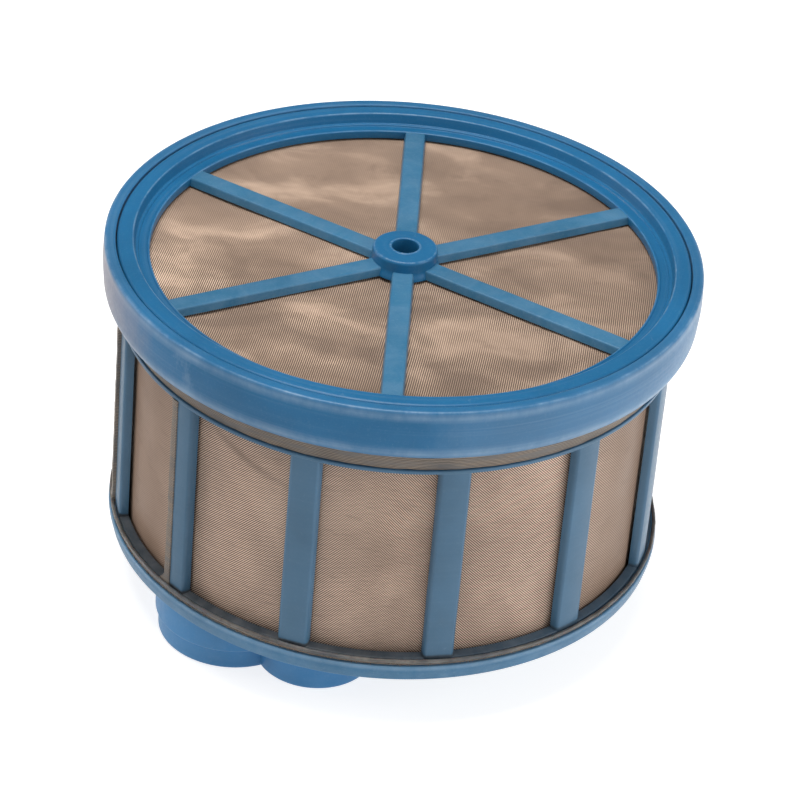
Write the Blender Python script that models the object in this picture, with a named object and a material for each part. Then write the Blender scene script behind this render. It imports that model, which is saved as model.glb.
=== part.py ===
"""Round mesh strainer cartridge with a spoked lift-out end, a twelve-rib cage and a twin outlet stub.

Standalone Blender script in metres, +Z up. The origin is on the axis, level with the open ends of the
outlet stub. Heights are measured from there.
"""
import math

import bmesh
import bpy

MM = 0.001
GAP = 0.3 * MM            # clearance kept between pieces that touch
EDGE = 0.2 * MM           # size of a broken edge
OVERCUT = 1.0 * MM        # how far a cutter runs past the face that it cuts
SMOOTH_ANGLE = math.radians(35.0)
SEGMENTS = 72             # facets of every large turned ring
SMALL_SEGMENTS = 36       # facets of hub, post and stub bores

# driving dimensions
COLLAR_R = 50.0 * MM      # outside radius of the collar, the widest piece
STUB_LENGTH = 10.5 * MM   # how far the larger stub stands below the base pan
BODY_HEIGHT = 54.4 * MM   # underside of the base pan to the collar's top face
TOP = STUB_LENGTH + BODY_HEIGHT
RIB_COUNT = 12
RIB_WIDTH = 5.2 * MM
RIB_OFFSET = math.radians(14.0)    # how far the ribs are turned from the spokes
SPOKE_COUNT = 6
SPOKE_WIDTH = 3.5 * MM

# collar
COLLAR_HEIGHT = 9.05 * MM
COLLAR_TOP_R = 49.8 * MM
COLLAR_FOOT_R = 49.1 * MM
COLLAR_BORE_R = 47.95 * MM
COLLAR_FLANGE_R = 46.95 * MM
COLLAR_SEAT = TOP - 7.8 * MM       # top of the inward flange

# spoked end
RIM_R = COLLAR_BORE_R - GAP
RIM_INNER_R = 44.95 * MM
OPENING_R = 42.25 * MM
LEDGE_Z = TOP - 2.2 * MM
END_FRAME_FOOT = TOP - 3.6 * MM
SPOKE_TOP = LEDGE_Z + 0.1 * MM
HUB_R = 5.45 * MM
HUB_BORE_R = 2.25 * MM
END_MESH_THICK = 0.35 * MM
END_MESH_TOP = END_FRAME_FOOT - GAP
CLAMP_TOP = END_MESH_TOP - END_MESH_THICK - GAP
CLAMP_FOOT = TOP - 6.4 * MM
GASKET_TOP = CLAMP_FOOT - GAP
GASKET_FOOT = COLLAR_SEAT + GAP

# cage and sleeve
WINDOW_TOP = TOP - 13.85 * MM
WINDOW_FOOT = TOP - 50.25 * MM
CAGE_INNER_R = 44.9 * MM
RIB_OUTER_R = 46.6 * MM
CAGE_RING_R = 46.65 * MM
CAGE_NECK_R = 45.95 * MM
CAGE_RING_TOP = WINDOW_TOP + 0.7 * MM
CAGE_TOP = COLLAR_SEAT - GAP
LOWER_RING_R = 46.5 * MM
LOWER_LIP_R = 45.8 * MM            # narrower foot of the lower ring, inside the pan's rim
LOWER_LIP_TOP = TOP - 51.15 * MM
LOWER_RING_FOOT = TOP - 52.5 * MM
SLEEVE_R = CAGE_INNER_R - GAP
SLEEVE_THICK = 0.4 * MM
HEM_R = 46.85 * MM

# base pan
BASE = STUB_LENGTH
PAN_RIM_TOP = LOWER_LIP_TOP - GAP
PAN_R = 47.55 * MM
PAN_FOOT_R = 47.0 * MM
PAN_WALL_R = LOWER_LIP_R + GAP
PAN_FLOOR = BASE + 0.9 * MM
BASE_GASKET_FOOT = PAN_FLOOR + GAP
BASE_GASKET_TOP = LOWER_RING_FOOT - GAP

# lower bead and mesh fringe around the cage's lower ring
BEAD_INNER_R = RIB_OUTER_R + GAP
BEAD_R = 47.45 * MM
BEAD_TOP = TOP - 50.05 * MM
BEAD_FOOT = TOP - 50.6 * MM
FRINGE_R = 47.3 * MM
FRINGE_TOP = BEAD_FOOT - 0.15 * MM
FRINGE_FOOT = PAN_RIM_TOP + 0.25 * MM

# twin stub: a large and a small round outlet side by side, made in one
LARGE_CENTRE = (-23.9 * MM, -21.8 * MM)
LARGE_R = 12.5 * MM
LARGE_ROOT_R = 13.1 * MM
LARGE_STEP = 3.9 * MM              # height of the narrower end of the large outlet
LARGE_SOCKET_R = 9.2 * MM
LARGE_BORE_R = 5.5 * MM
LARGE_NECK_R = 6.6 * MM
SMALL_CENTRE = (-9.35 * MM, -27.9 * MM)
SMALL_R = 10.0 * MM
SMALL_SOCKET_R = 5.8 * MM
SMALL_BORE_R = 3.2 * MM
SMALL_NECK_R = 4.2 * MM
SOCKET_DEPTH = 7.5 * MM
STUB_EDGE = 0.4 * MM               # broken edge at each open end
BLOCK_TOP = BASE - GAP
NECK_TOP = PAN_FLOOR + 4.6 * MM
NECK_SEAL_THICK = 0.9 * MM
NECK_SEAL_WIDTH = 1.2 * MM
LOCK_RING_THICK = 1.8 * MM
LARGE_LOCK_WIDTH = 1.9 * MM
SMALL_LOCK_WIDTH = 1.7 * MM

# centre post between the pan and the hub
POST_R = 4.0 * MM
POST_BORE_R = 2.25 * MM
POST_FOOT_R = 8.0 * MM
POST_FOOT_THICK = 2.0 * MM
POST_TOP = END_MESH_TOP - END_MESH_THICK - GAP

# base colours
BLUE = (0.035, 0.16, 0.40, 1.0)
BLUE_GREY = (0.09, 0.20, 0.34, 1.0)
MESH_TAN = (0.36, 0.27, 0.20, 1.0)
HEM_GREY = (0.20, 0.18, 0.15, 1.0)
RUBBER = (0.03, 0.03, 0.03, 1.0)
CLEAR_GREY = (0.30, 0.30, 0.28, 1.0)


def clear_scene():
    for item in list(bpy.data.objects):
        bpy.data.objects.remove(item, do_unlink=True)


def material(name, colour, roughness, metallic=0.0):
    made = bpy.data.materials.new(name)
    made.use_nodes = True
    shader = made.node_tree.nodes["Principled BSDF"]
    shader.inputs["Base Color"].default_value = colour
    shader.inputs["Roughness"].default_value = roughness
    shader.inputs["Metallic"].default_value = metallic
    return made


def finish_object(name, mesh, colour, roughness, metallic):
    piece = bpy.data.objects.new(name, mesh)
    bpy.context.collection.objects.link(piece)
    mesh.materials.append(material(name, colour, roughness, metallic))
    mesh.shade_smooth()
    mesh.set_sharp_from_angle(angle=SMOOTH_ANGLE)
    return piece


def turned_mesh(name, profile, segments=SEGMENTS, centre=(0.0, 0.0)):
    """Turn a closed outline of (radius, height) points about a vertical axis through centre.

    The outline runs anticlockwise in the (radius, height) plane, so that the faces point out.
    """
    shape = bmesh.new()
    rings = []
    for index in range(segments):
        angle = 2.0 * math.pi * index / segments
        across, along = math.cos(angle), math.sin(angle)
        rings.append([shape.verts.new((centre[0] + r * across, centre[1] + r * along, z))
                      for r, z in profile])
    for index in range(segments):
        this_ring, next_ring = rings[index], rings[(index + 1) % segments]
        for point in range(len(profile)):
            following = (point + 1) % len(profile)
            shape.faces.new((this_ring[point], next_ring[point],
                             next_ring[following], this_ring[following]))
    bmesh.ops.recalc_face_normals(shape, faces=shape.faces)
    mesh = bpy.data.meshes.new(name)
    shape.to_mesh(mesh)
    shape.free()
    return mesh


def turned(name, profile, colour, roughness, metallic=0.0, segments=SEGMENTS, centre=(0.0, 0.0)):
    return finish_object(name, turned_mesh(name, profile, segments, centre), colour, roughness, metallic)


def tube_profile(inner, outer, foot, top):
    return [(inner, foot), (outer, foot), (outer, top), (inner, top)]


def add_bars(shape, count, offset, inner, outer, foot, top, foot_width, top_width, outer_width=None):
    """Add radial bars of trapezoid section, one per step round the circle, from the -Y direction."""
    outer_width = outer_width or foot_width
    for index in range(count):
        angle = offset + 2.0 * math.pi * index / count - math.pi / 2.0
        direction = (math.cos(angle), math.sin(angle))
        sideways = (-direction[1], direction[0])
        corners = []
        for height, width in ((foot, foot_width), (top, top_width)):
            for radius, side in ((inner, -1.0), (outer, -1.0), (outer, 1.0), (inner, 1.0)):
                half = 0.5 * (width if radius == inner else width * outer_width / foot_width) * side
                corners.append(shape.verts.new((radius * direction[0] + half * sideways[0],
                                                radius * direction[1] + half * sideways[1], height)))
        low, high = corners[:4], corners[4:]
        shape.faces.new(low[::-1])
        shape.faces.new(high)
        for side in range(4):
            after = (side + 1) % 4
            shape.faces.new((low[side], low[after], high[after], high[side]))
    bmesh.ops.recalc_face_normals(shape, faces=shape.faces)


def guide(name, mesh):
    """A helper solid for a Boolean, left out of the object."""
    helper = bpy.data.objects.new(name, mesh)
    bpy.context.collection.objects.link(helper)
    helper.hide_render = True
    helper.display_type = "WIRE"
    return helper


def boolean(piece, helper, operation):
    step = piece.modifiers.new(operation.title() + " " + helper.name, "BOOLEAN")
    step.operation = operation
    step.solver = "EXACT"
    step.object = helper


def bars_guide(name, **sizes):
    shape = bmesh.new()
    add_bars(shape, **sizes)
    mesh = bpy.data.meshes.new(name)
    shape.to_mesh(mesh)
    shape.free()
    return guide(name, mesh)


def build_collar():
    """Outer ring: slightly barrelled wall, broken edges, inward flange that holds the cage's neck."""
    foot = TOP - COLLAR_HEIGHT
    profile = [
        (COLLAR_FLANGE_R, foot), (COLLAR_FOOT_R, foot), (COLLAR_R - 0.35 * MM, foot + 1.25 * MM),
        (COLLAR_R, TOP - 3.0 * MM), (COLLAR_TOP_R, TOP - EDGE),
        (COLLAR_TOP_R - EDGE, TOP), (COLLAR_BORE_R + EDGE, TOP), (COLLAR_BORE_R, TOP - EDGE),
        (COLLAR_BORE_R, COLLAR_SEAT), (COLLAR_FLANGE_R, COLLAR_SEAT),
    ]
    return turned("collar_ring", profile, BLUE, 0.38)


def build_end_frame():
    """Spoked end: stepped rim, six spokes and a raised hub with a through bore."""
    rim = [
        (OPENING_R, END_FRAME_FOOT), (RIM_R, END_FRAME_FOOT), (RIM_R, TOP - 0.35 * MM),
        (RIM_R - 0.35 * MM, TOP), (RIM_INNER_R + EDGE, TOP), (RIM_INNER_R, TOP - EDGE),
        (RIM_INNER_R - 0.25 * MM, LEDGE_Z), (OPENING_R + 0.15 * MM, LEDGE_Z),
        (OPENING_R, LEDGE_Z - 0.15 * MM),
    ]
    piece = turned("end_frame", rim, BLUE, 0.36)
    spokes = bars_guide("spoke_guide", count=SPOKE_COUNT, offset=0.0, inner=HUB_R - 1.3 * MM,
                        outer=RIM_INNER_R - 1.0 * MM, foot=END_FRAME_FOOT, top=SPOKE_TOP,
                        foot_width=SPOKE_WIDTH + 0.25 * MM, top_width=SPOKE_WIDTH)
    hub = guide("hub_guide", turned_mesh("hub_guide", [
        (HUB_BORE_R, END_FRAME_FOOT), (HUB_R + 0.35 * MM, END_FRAME_FOOT), (HUB_R, LEDGE_Z + 0.3 * MM),
        (HUB_R, TOP - 0.5 * MM), (HUB_R - 0.5 * MM, TOP), (HUB_BORE_R + EDGE, TOP),
        (HUB_BORE_R, TOP - EDGE),
    ], SMALL_SEGMENTS))
    boolean(piece, spokes, "UNION")
    boolean(piece, hub, "UNION")
    return piece


def build_cage():
    """Side moulding: neck, upper ring, twelve ribs and lower ring in one piece."""
    neck = [
        (CAGE_INNER_R, WINDOW_TOP), (CAGE_RING_R, WINDOW_TOP), (CAGE_RING_R, CAGE_RING_TOP),
        (CAGE_NECK_R, CAGE_RING_TOP), (CAGE_NECK_R, CAGE_TOP), (CAGE_INNER_R, CAGE_TOP),
    ]
    piece = turned("side_cage", neck, BLUE_GREY, 0.45)
    lower = guide("lower_ring_guide", turned_mesh("lower_ring_guide", [
        (CAGE_INNER_R, LOWER_RING_FOOT), (LOWER_LIP_R, LOWER_RING_FOOT), (LOWER_LIP_R, LOWER_LIP_TOP),
        (LOWER_RING_R, LOWER_LIP_TOP),
        (LOWER_RING_R, WINDOW_FOOT - 0.3 * MM), (LOWER_RING_R - 0.3 * MM, WINDOW_FOOT),
        (CAGE_INNER_R, WINDOW_FOOT),
    ]))
    ribs = bars_guide("rib_guide", count=RIB_COUNT, offset=RIB_OFFSET, inner=CAGE_INNER_R + 0.15 * MM,
                      outer=RIB_OUTER_R, foot=WINDOW_FOOT - 0.6 * MM, top=WINDOW_TOP + 0.6 * MM,
                      foot_width=RIB_WIDTH, top_width=RIB_WIDTH, outer_width=RIB_WIDTH - 0.5 * MM)
    boolean(piece, ribs, "UNION")
    boolean(piece, lower, "UNION")
    return piece


def build_base_pan():
    """Shallow pan under the cage, with a rolled rim, two neck holes and a screw hole in the middle."""
    profile = [
        (POST_BORE_R, BASE), (PAN_FOOT_R - EDGE, BASE), (PAN_FOOT_R, BASE + EDGE),
        (PAN_R - 0.05 * MM, PAN_RIM_TOP - 0.5 * MM), (PAN_R - 0.15 * MM, PAN_RIM_TOP - 0.12 * MM),
        (PAN_R - 0.4 * MM, PAN_RIM_TOP), (PAN_WALL_R, PAN_RIM_TOP), (PAN_WALL_R, PAN_FLOOR),
        (POST_BORE_R, PAN_FLOOR),
    ]
    piece = turned("base_pan", profile, BLUE, 0.36)
    for name, centre, radius in (("large_hole", LARGE_CENTRE, LARGE_NECK_R + GAP),
                                 ("small_hole", SMALL_CENTRE, SMALL_NECK_R + GAP)):
        hole = guide(name, disc_mesh(name, radius, BASE - OVERCUT, PAN_FLOOR + OVERCUT, centre))
        boolean(piece, hole, "DIFFERENCE")
    return piece


def disc_mesh(name, radius, foot, top, centre):
    shape = bmesh.new()
    bmesh.ops.create_cone(shape, cap_ends=True, segments=SMALL_SEGMENTS, radius1=radius, radius2=radius,
                          depth=top - foot)
    bmesh.ops.translate(shape, verts=shape.verts, vec=(centre[0], centre[1], 0.5 * (foot + top)))
    mesh = bpy.data.meshes.new(name)
    shape.to_mesh(mesh)
    shape.free()
    return mesh


def build_twin_stub():
    """Two outlets in one moulding: stepped large one, plain small one, each with a socket and a neck."""
    piece = turned("twin_stub", [
        (LARGE_SOCKET_R, 0.0), (LARGE_R - STUB_EDGE, 0.0), (LARGE_R, STUB_EDGE), (LARGE_R, LARGE_STEP),
        (LARGE_ROOT_R, LARGE_STEP + 0.3 * MM), (LARGE_ROOT_R, BLOCK_TOP), (LARGE_NECK_R, BLOCK_TOP),
        (LARGE_NECK_R, NECK_TOP), (LARGE_BORE_R, NECK_TOP), (LARGE_BORE_R, SOCKET_DEPTH),
        (LARGE_SOCKET_R, SOCKET_DEPTH),
    ], BLUE, 0.38, segments=SMALL_SEGMENTS, centre=LARGE_CENTRE)
    small = guide("small_guide", turned_mesh("small_guide", [
        (SMALL_BORE_R, 0.0), (SMALL_R - STUB_EDGE, 0.0), (SMALL_R, STUB_EDGE), (SMALL_R, BLOCK_TOP),
        (SMALL_NECK_R, BLOCK_TOP), (SMALL_NECK_R, NECK_TOP), (SMALL_BORE_R, NECK_TOP),
    ], SMALL_SEGMENTS, SMALL_CENTRE))
    boolean(piece, small, "UNION")
    for name, centre, radius, foot, top in (
            ("large_socket", LARGE_CENTRE, LARGE_SOCKET_R, -OVERCUT, SOCKET_DEPTH),
            ("large_bore", LARGE_CENTRE, LARGE_BORE_R, 0.5 * SOCKET_DEPTH, NECK_TOP + OVERCUT),
            ("small_socket", SMALL_CENTRE, SMALL_SOCKET_R, -OVERCUT, SOCKET_DEPTH)):
        boolean(piece, guide(name, disc_mesh(name, radius, foot, top, centre)), "DIFFERENCE")
    return piece


def build_neck_fittings():
    """A seal and a push-on lock ring on each neck, inside the pan."""
    seal_foot = PAN_FLOOR + GAP
    lock_foot = seal_foot + NECK_SEAL_THICK + GAP
    for label, centre, neck, width in (("large", LARGE_CENTRE, LARGE_NECK_R, LARGE_LOCK_WIDTH),
                                       ("small", SMALL_CENTRE, SMALL_NECK_R, SMALL_LOCK_WIDTH)):
        inner = neck + GAP
        turned(label + "_neck_seal",
               tube_profile(inner, inner + NECK_SEAL_WIDTH, seal_foot, seal_foot + NECK_SEAL_THICK),
               RUBBER, 0.7, segments=SMALL_SEGMENTS, centre=centre)
        turned(label + "_lock_ring",
               tube_profile(inner, inner + width, lock_foot, lock_foot + LOCK_RING_THICK),
               BLUE, 0.4, segments=SMALL_SEGMENTS, centre=centre)


def build_centre_post():
    """Tube that carries the hub on the pan, bored right through for a tie screw."""
    foot = PAN_FLOOR + GAP
    return turned("centre_post", [
        (POST_BORE_R, foot), (POST_FOOT_R, foot), (POST_FOOT_R, foot + POST_FOOT_THICK),
        (POST_R, foot + POST_FOOT_THICK + 1.5 * MM), (POST_R, POST_TOP), (POST_BORE_R, POST_TOP),
    ], BLUE, 0.4, segments=SMALL_SEGMENTS)


def build_rings():
    """Plain turned pieces: meshes, hems, bead, clamp ring and gaskets."""
    rings = (
        ("end_mesh", HUB_BORE_R + 0.1 * MM, RIM_R - 0.6 * MM, END_MESH_TOP - END_MESH_THICK,
         END_MESH_TOP, MESH_TAN, 0.45, 0.6),
        ("mesh_clamp_ring", OPENING_R + 0.3 * MM, RIM_R, CLAMP_FOOT, CLAMP_TOP, BLUE, 0.4, 0.0),
        ("end_gasket", CAGE_INNER_R + 0.2 * MM, RIM_R - 0.2 * MM, GASKET_FOOT, GASKET_TOP,
         RUBBER, 0.7, 0.0),
        ("side_mesh", SLEEVE_R - SLEEVE_THICK, SLEEVE_R, LOWER_RING_FOOT, CAGE_TOP, MESH_TAN, 0.45, 0.6),
        ("upper_mesh_hem", CAGE_NECK_R + 0.25 * MM, HEM_R, CAGE_RING_TOP + 0.25 * MM,
         COLLAR_SEAT - GAP, HEM_GREY, 0.5, 0.3),
        ("lower_bead", BEAD_INNER_R, BEAD_R, BEAD_FOOT, BEAD_TOP, CLEAR_GREY, 0.35, 0.0),
        ("lower_mesh_fringe", BEAD_INNER_R, FRINGE_R, FRINGE_FOOT, FRINGE_TOP, HEM_GREY, 0.5, 0.3),
        ("base_gasket", SLEEVE_R - SLEEVE_THICK, LOWER_LIP_R, BASE_GASKET_FOOT, BASE_GASKET_TOP,
         RUBBER, 0.7, 0.0),
    )
    for name, inner, outer, foot, top, colour, roughness, metallic in rings:
        turned(name, tube_profile(inner, outer, foot, top), colour, roughness, metallic)


def main():
    clear_scene()
    build_collar()
    build_end_frame()
    build_cage()
    build_base_pan()
    build_twin_stub()
    build_neck_fittings()
    build_centre_post()
    build_rings()


main()
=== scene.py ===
"""Looks for the mesh strainer cartridge: blue plastic, woven wire cloth, camera and light.

Colours and tints that change by place on the part are matched to one photograph, taken from -Y and above."""
import math
import random

import bmesh
import bpy
from mathutils import Matrix, Vector, noise


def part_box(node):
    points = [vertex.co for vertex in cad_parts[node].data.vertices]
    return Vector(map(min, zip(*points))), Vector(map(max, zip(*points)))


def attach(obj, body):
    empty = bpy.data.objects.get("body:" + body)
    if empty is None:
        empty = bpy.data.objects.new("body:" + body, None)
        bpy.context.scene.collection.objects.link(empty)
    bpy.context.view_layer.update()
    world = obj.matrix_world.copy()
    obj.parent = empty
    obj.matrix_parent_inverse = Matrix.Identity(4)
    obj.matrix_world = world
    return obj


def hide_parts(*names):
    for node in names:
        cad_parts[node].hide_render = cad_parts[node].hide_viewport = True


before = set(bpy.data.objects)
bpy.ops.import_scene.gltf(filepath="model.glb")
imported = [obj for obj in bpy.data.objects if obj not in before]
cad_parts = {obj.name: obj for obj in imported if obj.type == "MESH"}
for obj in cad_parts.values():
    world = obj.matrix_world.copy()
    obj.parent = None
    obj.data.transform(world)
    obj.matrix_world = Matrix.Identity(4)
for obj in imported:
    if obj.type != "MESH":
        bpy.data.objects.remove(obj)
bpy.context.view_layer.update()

MM = 0.001
RING_STEPS = 288          # facets of a large turned piece, a multiple of the rib and spoke counts
SMALL_STEPS = 96

# places read from the frame
COLLAR_LOW, COLLAR_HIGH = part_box("collar_ring")
END_LOW, END_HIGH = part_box("end_frame")
CAGE_LOW, CAGE_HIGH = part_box("side_cage")
SLEEVE_LOW, SLEEVE_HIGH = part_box("side_mesh")
CLOTH_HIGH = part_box("end_mesh")[1]
HEM_LOW, HEM_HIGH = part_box("upper_mesh_hem")
BEAD_LOW, BEAD_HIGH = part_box("lower_bead")
FRINGE_LOW, FRINGE_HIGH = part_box("lower_mesh_fringe")
PAN_LOW, PAN_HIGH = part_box("base_pan")
STUB_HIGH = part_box("twin_stub")[1]
TOP = COLLAR_HIGH.z
COLLAR_R = COLLAR_HIGH.x
BODY, LID = "cartridge", "spoked_end"

RIB_COUNT = 12
RIB_OFFSET = math.radians(14.0)
RIB_WIDTH = 5.2 * MM
SPOKE_COUNT = 6
SPOKE_WIDTH = 3.5 * MM
HUB_R = 5.45 * MM
HUB_BORE_R = 2.25 * MM
RIM_R = END_HIGH.x
RIM_INNER_R = 44.95 * MM
OPENING_R = 42.25 * MM
LEDGE_Z = TOP - 2.2 * MM
WINDOW_TOP = TOP - 13.85 * MM
CAGE_RING_R = 46.65 * MM
CAGE_RING_TOP = WINDOW_TOP + 0.7 * MM
WINDOW_FOOT = TOP - 50.25 * MM
RIB_OUTER_R = 46.6 * MM
CAGE_INNER_R = 44.9 * MM
LIP_TOP = TOP - 51.15 * MM
END_WIRES = 2950.0        # wires of the end cloth for each metre of X
END_LEAN = 0.105          # lean of those wires from Y, and how it changes along X
END_FAN = -0.8
END_STITCH = 1.15 * MM
SIDE_RISE = 2100.0        # wires of the sleeve, which lie at 45 degrees, for each metre of height
SIDE_COURSES = 614.0      # and in one turn
SIDE_STITCHES = 230.0
CREASE_Z = WINDOW_TOP - 9.6 * MM    # level of the sleeve's crease, a painted shade line carried round to the front
CREASE_RISE = 16.0 * MM             # its rise for each radian squared from there
CLEAR_X, BLURRED_X = 32.0 * MM, 37.0 * MM    # the sleeve's weave fades between these distances to each side
HEM_ROOT_R = 46.1 * MM
HEM_ROLL = 0.62 * MM
LAP_ROOT_R = 45.2 * MM
BEAD_MIDDLE_R = 47.14 * MM
BEAD_HALF = 0.31 * MM
FRINGE_WIRES = 760
CAGE_NECK_R = 45.95 * MM
CAGE_FOOT_R = 45.8 * MM
CAGE_LOWER_R = 46.5 * MM
PAN_R = 47.5 * MM
PAN_WALL_R = 46.1 * MM
LARGE_AT = (-23.9 * MM, -21.8 * MM)    # axes of the two outlets
SMALL_AT = (-9.35 * MM, -27.9 * MM)
LARGE_SOCKET_R, LARGE_BORE_R = 9.2 * MM, 5.5 * MM
SMALL_SOCKET_R = 5.8 * MM
SOCKET_DEPTH = 7.5 * MM
FLOOR_GLOW = (0.36, 0.85)    # light that the floor sends up at the left and at the right
FLOOR_SEEN = 0.78            # its own brightness as the camera sees it, the same all over
WORLD_GLOW = (0.50, 0.20)    # light of the room in front of the object and behind it
WORLD_SEEN = 1.0


# ---------------------------------------------------------------- mesh helpers

def add_object(name, mesh, body, material, replaced=(), sharp=40.0):
    piece = bpy.data.objects.new(name, mesh)
    bpy.context.scene.collection.objects.link(piece)
    mesh.shade_smooth()
    mesh.set_sharp_from_angle(angle=math.radians(sharp))
    mesh.materials.clear()
    mesh.materials.append(material)
    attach(piece, body)
    if replaced:
        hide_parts(*replaced)
    return piece


def mesh_from(shape, name):
    bmesh.ops.recalc_face_normals(shape, faces=shape.faces)
    mesh = bpy.data.meshes.new(name)
    shape.to_mesh(mesh)
    shape.free()
    return mesh


def rounded(profile, radii, steps=4):
    """Round the corners of a closed outline: one radius for each point, 0 for a sharp one."""
    result = []
    count = len(profile)
    for index, (point, radius) in enumerate(zip(profile, radii)):
        here = Vector(point)
        before = Vector(profile[index - 1]) - here
        after = Vector(profile[(index + 1) % count]) - here
        if radius <= 0.0:
            result.append(tuple(here))
            continue
        reach = min(radius, 0.45 * before.length, 0.45 * after.length)
        start = here + before.normalized() * reach
        end = here + after.normalized() * reach
        for step in range(steps + 1):
            t = step / steps
            bend = start * (1.0 - t) ** 2 + here * 2.0 * t * (1.0 - t) + end * t ** 2
            result.append(tuple(bend))
    return result


def add_turned(shape, profile, steps=RING_STEPS, centre=(0.0, 0.0), warp=None):
    """Turn a closed (radius, height) outline; warp(radius, angle, height) may move each point."""
    rings = []
    for index in range(steps):
        angle = 2.0 * math.pi * index / steps
        across, along = math.cos(angle), math.sin(angle)
        ring = []
        for radius, height in profile:
            if warp:
                radius, height = warp(radius, angle, height)
            ring.append(shape.verts.new((centre[0] + radius * across, centre[1] + radius * along, height)))
        rings.append(ring)
    for index in range(steps):
        this_ring, next_ring = rings[index], rings[(index + 1) % steps]
        for point in range(len(profile)):
            following = (point + 1) % len(profile)
            shape.faces.new((this_ring[point], next_ring[point],
                             next_ring[following], this_ring[following]))


def turned(name, profile, **options):
    shape = bmesh.new()
    add_turned(shape, profile, **options)
    return mesh_from(shape, name)


def add_skin(shape, loops):
    """Close a row of equal loops of vertices into a solid, with a face at each end."""
    shape.faces.new(loops[0][::-1])
    shape.faces.new(loops[-1])
    for first, second in zip(loops, loops[1:]):
        for index in range(len(first)):
            after = (index + 1) % len(first)
            shape.faces.new((first[index], first[after], second[after], second[index]))


def add_bar(shape, angle, sections):
    """A bar along one radial direction: each section is (distance along, list of (sideways, height))."""
    direction = Vector((math.sin(angle), -math.cos(angle), 0.0))
    sideways = Vector((-direction.y, direction.x, 0.0))
    loops = []
    for distance, outline in sections:
        loops.append([shape.verts.new(direction * distance + sideways * side + Vector((0.0, 0.0, height)))
                      for side, height in outline])
    add_skin(shape, loops)


# ---------------------------------------------------------------- material helpers

class Nodes:
    """A material's node tree, with one short call for each kind of node used here."""

    def __init__(self, name):
        self.material = bpy.data.materials.new(name)
        self.material.use_nodes = True
        self.tree = self.material.node_tree
        self.shader = self.tree.nodes["Principled BSDF"]
        self.coords = self.tree.nodes.new("ShaderNodeTexCoord").outputs["Object"]
        self.x, self.y, self.z = self.split(self.coords)

    def new(self, kind, **settings):
        made = self.tree.nodes.new(kind)
        for key, value in settings.items():
            setattr(made, key, value)
        return made

    def feed(self, socket, value):
        if isinstance(value, bpy.types.NodeSocket):
            self.tree.links.new(value, socket)
        else:
            socket.default_value = value

    def split(self, vector):
        made = self.new("ShaderNodeSeparateXYZ")
        self.feed(made.inputs[0], vector)
        return made.outputs

    def join(self, x, y, z):
        made = self.new("ShaderNodeCombineXYZ")
        for socket, value in zip(made.inputs, (x, y, z)):
            self.feed(socket, value)
        return made.outputs[0]

    def math(self, operation, *values, clamp=False):
        made = self.new("ShaderNodeMath", operation=operation, use_clamp=clamp)
        for socket, value in zip(made.inputs, values):
            self.feed(socket, value)
        return made.outputs[0]

    def radius(self):
        across, along = self.math("MULTIPLY", self.x, self.x), self.math("MULTIPLY", self.y, self.y)
        return self.math("SQRT", self.math("ADD", across, along))

    def angle(self):
        """Angle round the axis: 0 at -Y, growing towards +X."""
        return self.math("ARCTAN2", self.x, self.math("MULTIPLY", self.y, -1.0))

    def noise(self, vector, scale, detail=3.0, roughness=0.55, distortion=0.0):
        made = self.new("ShaderNodeTexNoise")
        self.feed(made.inputs["Vector"], vector)
        made.inputs["Scale"].default_value = scale
        made.inputs["Detail"].default_value = detail
        made.inputs["Roughness"].default_value = roughness
        made.inputs["Distortion"].default_value = distortion
        return made.outputs["Fac"]

    def span(self, value, low, high, to_low=0.0, to_high=1.0):
        """Map value from low..high to to_low..to_high, held at the ends."""
        made = self.new("ShaderNodeMapRange")
        for socket, number in zip(made.inputs, (value, low, high, to_low, to_high)):
            self.feed(socket, number)
        return made.outputs[0]

    def band(self, value, centre, half_width):
        """1 at centre, falling to 0 at half_width on each side."""
        away = self.math("ABSOLUTE", self.math("SUBTRACT", value, centre))
        return self.span(away, 0.0, half_width, 1.0, 0.0)

    def mix(self, factor, first, second):
        made = self.new("ShaderNodeMix", data_type="RGBA")
        self.feed(made.inputs[0], factor)
        self.feed(made.inputs[6], first)
        self.feed(made.inputs[7], second)
        return made.outputs[2]

    def bump(self, height, strength, distance, normal=None):
        made = self.new("ShaderNodeBump")
        made.inputs["Strength"].default_value = strength
        made.inputs["Distance"].default_value = distance
        self.feed(made.inputs["Height"], height)
        if normal is not None:
            self.feed(made.inputs["Normal"], normal)
        return made.outputs[0]

    def finish(self, colour, roughness, normal=None, **fixed):
        self.feed(self.shader.inputs["Base Color"], colour)
        self.feed(self.shader.inputs["Roughness"], roughness)
        if normal is not None:
            self.feed(self.shader.inputs["Normal"], normal)
        for key, value in fixed.items():
            self.shader.inputs[key.replace("_", " ")].default_value = value
        return self.material


def rgb(red, green, blue):
    return (red, green, blue, 1.0)


# ---------------------------------------------------------------- materials

# Dark greys of painted shade, mottled.
SHADE_GREY = rgb(0.030, 0.030, 0.030)
SHADE_GREY_PALE = rgb(0.085, 0.085, 0.085)


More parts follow.
